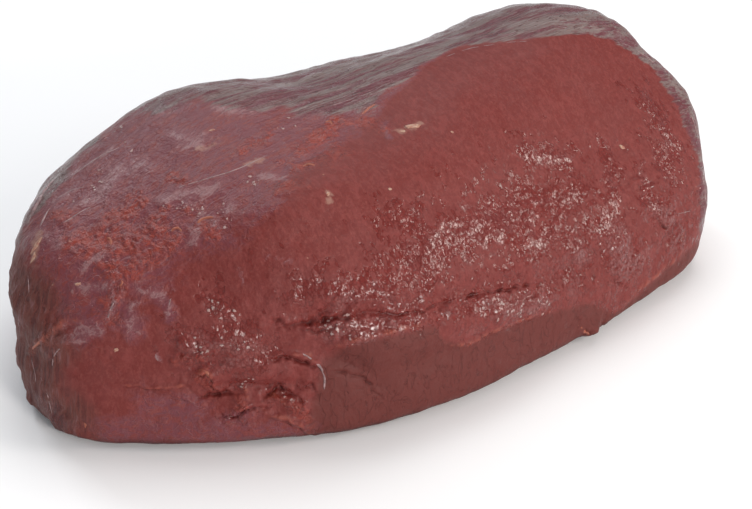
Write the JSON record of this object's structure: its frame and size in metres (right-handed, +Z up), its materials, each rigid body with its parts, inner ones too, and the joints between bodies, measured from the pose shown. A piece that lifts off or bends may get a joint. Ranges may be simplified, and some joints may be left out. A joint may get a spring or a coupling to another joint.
{
  "type": "raw boneless meat joint",
  "caption": "Raw, trimmed, boneless joint of dark red meat with silverskin on top, lying on its flat underside.",
  "frame": {"origin": "on the resting surface, under the middle of the joint's bounding box", "axes": "+X along the joint toward its high rounded end, -Y toward its large trimmed face, +Z up"},
  "size_m": [0.2682, 0.1382, 0.0863],
  "materials": {
    "raw_meat": "moist, slightly glossy raw meat"
  },
  "bodies": {
    "root": {"meat_joint": "raw_meat"}
  },
  "joints": []
}
